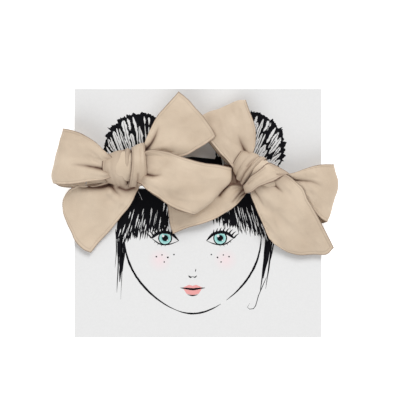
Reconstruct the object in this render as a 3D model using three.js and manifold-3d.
// A pair of hand-tied fabric bows, each glued to a sprung metal hair clip, on a die-cut display card.
// Millimetres. The card lies flat: +X runs across it, +Y up it and +Z out of its printed face.
// The origin is the centre of the card's back.
import * as THREE from "three";
import { mergeVertices } from "three/addons/utils/BufferGeometryUtils.js";
import Module from "manifold-3d";

const wasm = await Module();
wasm.setup();

// ---------- driving dimensions ----------
const CARD_WIDTH = 140;
const CARD_HEIGHT = 141;
const CARD_THICK = 0.6;
const GAP = 0.35; // between neighbouring pieces

const SHEET = 0.8; // the clip's pressed steel
const JAW_LENGTH = 30; // from the pivot to the tip
const LEVER_LENGTH = 15; // from the pivot to the thumb end
const LEVER_RISE = THREE.MathUtils.degToRad(20);
const LEVER_BEND = -2; // where the upper lever starts to rise, along the clip from its pivot
const SHOULDER = 3; // where the jaws start to narrow
const CORNER = 1.5;
const ARM_HALF_WIDTH = 4.8;
const JAW_HALF_WIDTH = 3.9;
const TIP_HALF_WIDTH = 3;
const EAR_HALF_LENGTH = 1.3;
const EAR_THICK = 0.6;
const EAR_INSET = 0.1; // an ear stops this short of the far strip's outer face
const EAR_SWING = 0.25; // and the ear on its other side this much, to clear the swing
const NOTCH_HALF_LENGTH = 1.9; // in the upper arm, over the lower jaw's ears
const PIN_RADIUS = 0.4;
const PIN_HOLE_RADIUS = 0.7;
const PIN_HEAD_RADIUS = 0.8;
const PIN_HEAD_THICK = 0.4;
const SPRING_THICK = 0.35;
const SPRING_HALF_WIDTH = 2.2;
const SPRING_NOSE = -1.5;
const SPRING_LEG = 3.2 - LEVER_LENGTH;
const SLOT_START = 7; // the long hole down the middle of the lower jaw
const SLOT_END = JAW_LENGTH - 6;
const LINING_THICK = 0.8;
const LINING_HALF_WIDTH = 4;
const LINING_START = 2.5;

const TONGUE_HALF_WIDTH = 4.5;
const TONGUE_FREE_END = 18; // along the clip, from its pivot
const TONGUE_ROOT = 38;
const TONGUE_BEND = JAW_LENGTH + 1;
const WINDOW_HALF_WIDTH = 5.2;
const WINDOW_BACK = -13.5; // lets the lower jaw swing down wherever the clip is on its tongue

// Where each clip's pivot stands on the card, and which way its jaws point along X.
const CLIPS = {
  left: { x: -48.2, y: 19.4, points: 1 },
  right: { x: 40, y: 16.8, points: -1 },
};

// ---------- heights, worked out from the sheet and card thicknesses ----------
const JAW_BOTTOM = CARD_THICK + GAP;
const JAW_TOP = JAW_BOTTOM + SHEET;
const TONGUE_BOTTOM = JAW_TOP + GAP;
const TONGUE_TOP = TONGUE_BOTTOM + CARD_THICK;
const ARM_BOTTOM = TONGUE_TOP + GAP;
const ARM_TOP = ARM_BOTTOM + SHEET;
const PIVOT_HEIGHT = (JAW_TOP + ARM_BOTTOM) / 2;
const LINING_BOTTOM = ARM_TOP + GAP;

// ---------- solids ----------
function solidOf(geometry) {
  const bare = geometry.clone();
  bare.deleteAttribute("normal");
  bare.deleteAttribute("uv");
  const merged = mergeVertices(bare, 1e-4);
  return new wasm.Manifold(
    new wasm.Mesh({
      numProp: 3,
      vertProperties: merged.attributes.position.array,
      triVerts: new Uint32Array(merged.index.array),
    }),
  );
}

function geometryOf(solid) {
  const mesh = solid.getMesh();
  const geometry = new THREE.BufferGeometry();
  geometry.setAttribute("position", new THREE.BufferAttribute(mesh.vertProperties, 3));
  geometry.setIndex(new THREE.BufferAttribute(mesh.triVerts, 1));
  geometry.computeVertexNormals();
  return geometry;
}

function shapeOf(points) {
  return new THREE.Shape(points.map(([x, y]) => new THREE.Vector2(x, y)));
}

// A plan outline raised from one height to another.
function raised(shape, low, high) {
  const geometry = new THREE.ExtrudeGeometry(shape, {
    depth: high - low,
    bevelEnabled: false,
    curveSegments: 10,
  });
  return solidOf(geometry.translate(0, 0, low));
}

// A side profile, in (along, height), run across the clip from one side to the other.
function across(profile, from, to) {
  const geometry = new THREE.ExtrudeGeometry(shapeOf(profile), {
    depth: to - from,
    bevelEnabled: false,
    curveSegments: 10,
  });
  return solidOf(geometry.rotateX(Math.PI / 2).translate(0, to, 0));
}

// A round bar through the pivot, across the clip.
function bar(radius, from, to, sides = 16) {
  const geometry = new THREE.CylinderGeometry(radius, radius, to - from, sides);
  return solidOf(geometry.translate(0, (from + to) / 2, PIVOT_HEIGHT));
}

function box(from, to) {
  const size = to.map((value, i) => value - from[i]);
  const middle = to.map((value, i) => (value + from[i]) / 2);
  return solidOf(new THREE.BoxGeometry(...size).translate(...middle));
}

// ---------- the clip, with its pivot at the origin and its jaws along +X ----------
// A strip that is widest at the pivot and narrows to a round tip.
function armOutline(halfWidth, back) {
  const shape = new THREE.Shape();
  shape.moveTo(back, CORNER - halfWidth);
  shape.quadraticCurveTo(back, -halfWidth, back + CORNER, -halfWidth);
  shape.lineTo(SHOULDER, -halfWidth);
  shape.lineTo(JAW_LENGTH - TIP_HALF_WIDTH, -TIP_HALF_WIDTH);
  shape.absarc(JAW_LENGTH - TIP_HALF_WIDTH, 0, TIP_HALF_WIDTH, -Math.PI / 2, Math.PI / 2, false);
  shape.lineTo(SHOULDER, halfWidth);
  shape.lineTo(back + CORNER, halfWidth);
  shape.quadraticCurveTo(back, halfWidth, back, halfWidth - CORNER);
  shape.closePath();
  return shape;
}

function upperArm() {
  const rise = (LEVER_LENGTH + LEVER_BEND) * Math.tan(LEVER_RISE);
  const profile = [
    [JAW_LENGTH, ARM_BOTTOM],
    [JAW_LENGTH, ARM_TOP],
    [LEVER_BEND, ARM_TOP],
    [-LEVER_LENGTH, ARM_TOP + rise],
    [-LEVER_LENGTH, ARM_BOTTOM + rise],
    [LEVER_BEND, ARM_BOTTOM],
  ];
  const plate = across(profile, -ARM_HALF_WIDTH, ARM_HALF_WIDTH).intersect(
    raised(armOutline(ARM_HALF_WIDTH, -LEVER_LENGTH), 0, ARM_TOP + rise + 1),
  );
  const ears = [-1, 1].map((side) => {
    const inner = side * (ARM_HALF_WIDTH - EAR_THICK);
    const outer = side * ARM_HALF_WIDTH;
    return box(
      [-EAR_HALF_LENGTH, Math.min(inner, outer), JAW_BOTTOM + EAR_SWING],
      [EAR_HALF_LENGTH, Math.max(inner, outer), ARM_TOP - EAR_INSET],
    );
  });
  const notches = [-1, 1].map((side) => {
    const inner = side * (JAW_HALF_WIDTH - EAR_THICK - GAP);
    const outer = side * (JAW_HALF_WIDTH + GAP / 2);
    return box(
      [-NOTCH_HALF_LENGTH, Math.min(inner, outer), ARM_BOTTOM - 1],
      [NOTCH_HALF_LENGTH, Math.max(inner, outer), ARM_TOP + 1],
    );
  });
  return plate
    .subtract(notches[0])
    .subtract(notches[1])
    .add(ears[0])
    .add(ears[1])
    .subtract(bar(PIN_HOLE_RADIUS, -ARM_HALF_WIDTH - 1, ARM_HALF_WIDTH + 1));
}

function lowerJaw() {
  const back = -LEVER_LENGTH + 2;
  const plate = armOutline(JAW_HALF_WIDTH, back);
  const slot = new THREE.Path();
  slot.absarc(SLOT_START, 0, 1, Math.PI / 2, (3 * Math.PI) / 2, false);
  slot.absarc(SLOT_END, 0, 0.8, -Math.PI / 2, Math.PI / 2, false);
  slot.closePath();
  plate.holes.push(slot);
  const ears = [-1, 1].map((side) => {
    const inner = side * (JAW_HALF_WIDTH - EAR_THICK);
    const outer = side * JAW_HALF_WIDTH;
    return box(
      [-EAR_HALF_LENGTH, Math.min(inner, outer), JAW_BOTTOM + EAR_INSET],
      [EAR_HALF_LENGTH, Math.max(inner, outer), ARM_TOP - EAR_SWING],
    );
  });
  return raised(plate, JAW_BOTTOM, JAW_TOP)
    .add(ears[0])
    .add(ears[1])
    .subtract(bar(PIN_HOLE_RADIUS, -JAW_HALF_WIDTH - 1, JAW_HALF_WIDTH + 1));
}

// A steel leaf folded into a V, which pushes the two thumb ends apart.
function leafSpring() {
  const [nose, leg] = [SPRING_NOSE, SPRING_LEG];
  const low = JAW_TOP + 0.3;
  const slope = Math.tan(LEVER_RISE);
  const top = ARM_BOTTOM - GAP;
  const profile = [
    [leg, low],
    [nose - 0.5, low],
    [nose, (low + top) / 2],
    [nose - 0.5, top],
    [leg, top + (nose - 0.5 - leg) * slope],
    [leg, top + (nose - 0.5 - leg) * slope - SPRING_THICK],
    [nose - 1, low + SPRING_THICK],
    [leg, low + SPRING_THICK],
  ];
  return across(profile, -SPRING_HALF_WIDTH, SPRING_HALF_WIDTH);
}

function pivotPin() {
  const inside = ARM_HALF_WIDTH + 0.3;
  const outside = inside + PIN_HEAD_THICK;
  return bar(PIN_RADIUS, -inside - 0.1, inside + 0.1)
    .add(bar(PIN_HEAD_RADIUS, inside, outside))
    .add(bar(PIN_HEAD_RADIUS, -outside, -inside));
}

// The ribbon glued along the top of the arm, which the bow is glued to.
function lining() {
  const shape = new THREE.Shape();
  const end = JAW_LENGTH - 5;
  const halfWidth = TIP_HALF_WIDTH + 0.3;
  shape.moveTo(LINING_START, -LINING_HALF_WIDTH);
  shape.lineTo(end, -halfWidth);
  shape.absarc(end, 0, halfWidth, -Math.PI / 2, Math.PI / 2, false);
  shape.lineTo(LINING_START, LINING_HALF_WIDTH);
  shape.closePath();
  return raised(shape, LINING_BOTTOM, LINING_BOTTOM + LINING_THICK);
}

// ---------- the card ----------
// The tongue rises from its root and runs level between the clip's jaws.
function tongue() {
  const profile = [
    [TONGUE_FREE_END, TONGUE_BOTTOM],
    [TONGUE_BEND, TONGUE_BOTTOM],
    [TONGUE_ROOT, 0],
    [TONGUE_ROOT + 1, 0],
    [TONGUE_ROOT + 1, CARD_THICK],
    [TONGUE_ROOT + 0.2, CARD_THICK],
    [TONGUE_BEND + 0.2, TONGUE_TOP],
    [TONGUE_FREE_END, TONGUE_TOP],
  ];
  return across(profile, -TONGUE_HALF_WIDTH, TONGUE_HALF_WIDTH);
}

function onCard(solid, clip) {
  const placed = clip.points > 0 ? solid : solid.rotate([0, 0, 180]);
  return placed.translate([clip.x, clip.y, 0]);
}

function displayCard() {
  let card = box(
    [-CARD_WIDTH / 2, -CARD_HEIGHT / 2, 0],
    [CARD_WIDTH / 2, CARD_HEIGHT / 2, CARD_THICK],
  );
  for (const clip of Object.values(CLIPS)) {
    const cut = box(
      [WINDOW_BACK, -WINDOW_HALF_WIDTH, -1],
      [TONGUE_ROOT, WINDOW_HALF_WIDTH, CARD_THICK + 1],
    );
    card = card.subtract(onCard(cut, clip)).add(onCard(tongue(), clip));
  }
  return card;
}

// ---------- soft pieces ----------
// Each station is [left x, y, z, right x, y, z, thickness]: the two edges of the cloth in plan, with their
// heights, and how thick the piece is between them. Stations run from the knot outwards.
const SMOOTHING = 2; // rings between neighbouring stations

function soft(stations, ringPoints = 16) {
  const curves = [0, 3].map(
    (first) =>
      new THREE.CatmullRomCurve3(
        stations.map((s) => new THREE.Vector3(s[first], s[first + 1], s[first + 2])),
      ),
  );
  const spans = stations.length - 1;
  const rings = spans * SMOOTHING + 1;
  const positions = [];
  const middles = [];
  for (let i = 0; i < rings; i++) {
    const share = i / (rings - 1);
    const at = Math.min(Math.floor(share * spans), spans - 1);
    const thick = THREE.MathUtils.lerp(stations[at][6], stations[at + 1][6], share * spans - at);
    const [left, right] = curves.map((curve) => curve.getPoint(share));
    const middle = left.clone().lerp(right, 0.5);
    middles.push(middle);
    for (let k = 0; k < ringPoints; k++) {
      const angle = (2 * Math.PI * k) / ringPoints;
      const point = middle.clone().lerp(left, Math.cos(angle));
      point.z += Math.sin(angle) * (thick / 2);
      positions.push(...point);
    }
  }
  const caps = [middles[0], middles[rings - 1]].map((middle) => {
    positions.push(...middle);
    return positions.length / 3 - 1;
  });
  const index = [];
  for (let k = 0; k < ringPoints; k++) {
    const next = (k + 1) % ringPoints;
    for (let i = 0; i < rings - 1; i++) {
      const [a, b] = [i * ringPoints + k, i * ringPoints + next];
      const [c, d] = [a + ringPoints, b + ringPoints];
      index.push(a, c, b, b, c, d);
    }
    const last = (rings - 1) * ringPoints;
    index.push(caps[0], k, next, caps[1], last + next, last + k);
  }
  const geometry = new THREE.BufferGeometry();
  geometry.setAttribute("position", new THREE.Float32BufferAttribute(positions, 3));
  geometry.setIndex(index);
  const made = solidOf(geometry);
  if (made.volume() > 0) return made;
  geometry.setIndex(index.reverse());
  return solidOf(geometry);
}

// The same solid a little larger about its own middle, to leave room round it.
function grown(solid, factor = 1.05) {
  const { min, max } = solid.boundingBox();
  const middle = min.map((value, i) => (value + max[i]) / 2);
  return solid
    .translate(middle.map((value) => -value))
    .scale([factor, factor, factor])
    .translate(middle);
}

const BOWS = {
  left: {
    knot: [
      [-53, 32.6, 12.6, -53, 19.8, 12.6, 9],
      [-50, 33.6, 12.6, -50, 18.2, 12.4, 12.5],
      [-44, 34.4, 12.6, -44, 17.2, 12.2, 14.2],
      [-37, 35.8, 12.6, -36, 16.3, 12.2, 14.6],
      [-31, 37.6, 12.6, -31, 15.6, 12.4, 13.4],
      [-28.8, 36.6, 12.6, -28.8, 17, 12.6, 10],
    ],
    outer_loop: [
      [-46, 30, 12.8, -46, 22, 12.8, 5],
      [-53, 33, 13, -53, 20.2, 13, 7],
      [-58.5, 40, 13.5, -58, 17, 13, 8],
      [-65, 43.8, 13.2, -66, 15.6, 12, 8.5],
      [-71.5, 46.2, 12, -75.5, 15.6, 10, 6.5],
      [-75, 47.2, 11, -81, 17, 8.5, 2.4],
    ],
    inner_loop: [
      [-36, 29.5, 14.2, -36, 20.5, 14.2, 4],
      [-28, 33.4, 14.6, -29.5, 17, 14.2, 6],
      [-17.5, 34, 15.2, -22, 9.6, 14, 8],
      [-5, 30.2, 15.2, -11, 2.2, 12, 8],
      [8, 26.6, 14, -4.5, -0.2, 10.8, 6],
      [16.6, 25, 13, -0.8, 0.2, 10, 2.6],
      [17.4, 19.6, 12.4, 4, 3.4, 10.2, 2],
    ],
    outer_tail: [
      [-47, 20, 6.9, -37, 19.5, 6.9, 1.8],
      [-51.5, 14.9, 6.8, -35.3, 12.4, 6.8, 2.2],
      [-65.5, 14, 6.6, -37.2, 6.6, 6.4, 2.4],
      [-75, 8, 5.2, -43, -1.6, 5.2, 2.4],
      [-75.6, -1.4, 4.2, -48.6, -9.2, 4.2, 2.4],
      [-71, -11, 3.4, -54.4, -15.6, 3.4, 2.2],
      [-64.5, -20.2, 2.8, -58.6, -19.8, 2.8, 1.8],
      [-61.4, -22, 2.6, -60.2, -22, 2.6, 1.4],
    ],
    inner_tail: [
      [-35, 34, 9, -35, 29, 9, 2],
      [-28.8, 37, 9.6, -27.6, 33.4, 9, 2],
      [-26.6, 46, 11.4, -22, 35.4, 10.4, 2.4],
      [-20, 58.2, 12.8, -11, 34.4, 12.4, 2.4],
      [-14, 65, 13.2, -2.6, 34, 13.4, 2.4],
      [-10.8, 67.6, 13.2, 9.6, 41.4, 13.4, 2],
    ],
  },
  right: {
    knot: [
      [25.6, 34.2, 12.6, 19.9, 25.8, 12.6, 8],
      [31, 33.8, 12.6, 22, 20.5, 12.4, 12.5],
      [36.5, 30.8, 12.6, 26, 12.8, 12.2, 14.4],
      [42, 27.3, 12.6, 31.5, 12.3, 12.4, 14],
      [47, 24, 12.6, 41, 16.8, 12.6, 10],
      [50.5, 22, 12.6, 48, 20.9, 12.6, 4],
    ],
    outer_loop: [
      [38.6, 23.3, 10.8, 36, 15.3, 10.8, 4],
      [47.8, 21, 11.2, 46.5, 16.5, 10.6, 3.4],
      [55, 22.8, 12.4, 52.5, 13.6, 10.8, 4],
      [64, 25.7, 12.6, 60, 5.6, 8.2, 6],
      [71.5, 27, 11.2, 66.6, -1.6, 6, 5.5],
      [75.4, 27, 10, 72.4, -4.2, 5, 2.6],
      [77.8, 20, 9.4, 75.6, 4, 6, 1.8],
    ],
    inner_loop: [
      [29, 22, 12.6, 33, 28, 12.6, 5],
      [20.6, 26.2, 12.2, 26, 33.8, 12.2, 6.5],
      [13.8, 32.4, 9.6, 30.8, 38.8, 11.6, 6.5],
      [7.6, 40.2, 7.2, 32.2, 46.2, 10, 6.2],
      [3.8, 48, 5.8, 31, 54.6, 8.4, 5.6],
      [1.8, 53, 5, 28, 61.4, 6.8, 3.4],
      [3, 55, 4.8, 25.4, 63.2, 6.2, 2],
    ],
    outer_tail: [
      [33, 17, 13.6, 44, 22, 14.2, 2],
      [31, 9.6, 10, 50, 19.6, 15.4, 2.2],
      [34.5, 0, 7.6, 58.6, 13, 14.6, 2.2],
      [38, -7.6, 6.2, 64, 2.6, 12.2, 2.2],
      [41, -15, 5, 68.6, -6, 9.2, 2.2],
      [47, -22.5, 4, 72.8, -14.5, 6.4, 2.2],
      [56, -26.2, 3.2, 76, -21, 4.6, 2],
      [69.5, -27.6, 2.8, 75.4, -24.2, 3.4, 1.6],
    ],
    inner_tail: [
      [30.5, 14.5, 8.4, 29.5, 18.5, 8.4, 1.8],
      [25.6, 9.6, 6.8, 24, 17.4, 7.6, 2],
      [17, 1.8, 5.4, 15, 19.6, 7.2, 2.2],
      [4, -5, 4.8, 3, 19.4, 6.2, 2.2],
      [-6, -8, 4.4, -8, 18.2, 5.2, 2],
      [-14.5, -11, 4, -16.4, 15.6, 5, 1.8],
    ],
  },
};

// ---------- materials ----------
function plain(colour, roughness, metalness = 0) {
  return new THREE.MeshStandardMaterial({ color: colour, roughness, metalness });
}

const SATEEN = plain(0xd4bfa6, 0.6);
const STEEL = plain(0xb9bcc0, 0.3, 1);
const SPRING_STEEL = plain(0x8d9095, 0.35, 1);
const RIBBON = plain(0xcdb79e, 0.85);
const CARD = plain(0xececec, 0.9);

// ---------- assembly ----------
const group = new THREE.Group();

function node(name, solid, material) {
  const mesh = new THREE.Mesh(geometryOf(solid), material);
  mesh.name = name;
  group.add(mesh);
  return mesh;
}

function addClip(side, clip) {
  const pieces = {
    clip_upper_arm: [upperArm(), STEEL],
    clip_lower_jaw: [lowerJaw(), STEEL],
    clip_spring: [leafSpring(), SPRING_STEEL],
    clip_pivot_pin: [pivotPin(), STEEL],
    clip_lining: [lining(), RIBBON],
  };
  for (const [name, [solid, material]] of Object.entries(pieces)) {
    node(side + "_" + name, onCard(solid, clip), material);
  }
}

function addBow(side, pieces) {
  const knot = soft(pieces.knot, 20);
  const room = grown(knot);
  node(side + "_bow_knot", knot, SATEEN);
  for (const name of ["outer_loop", "inner_loop", "outer_tail", "inner_tail"]) {
    node(side + "_bow_" + name, soft(pieces[name]).subtract(room), SATEEN);
  }
}

node("display_card", displayCard(), CARD);
for (const side of ["left", "right"]) {
  addClip(side, CLIPS[side]);
  addBow(side, BOWS[side]);
}

export default group;
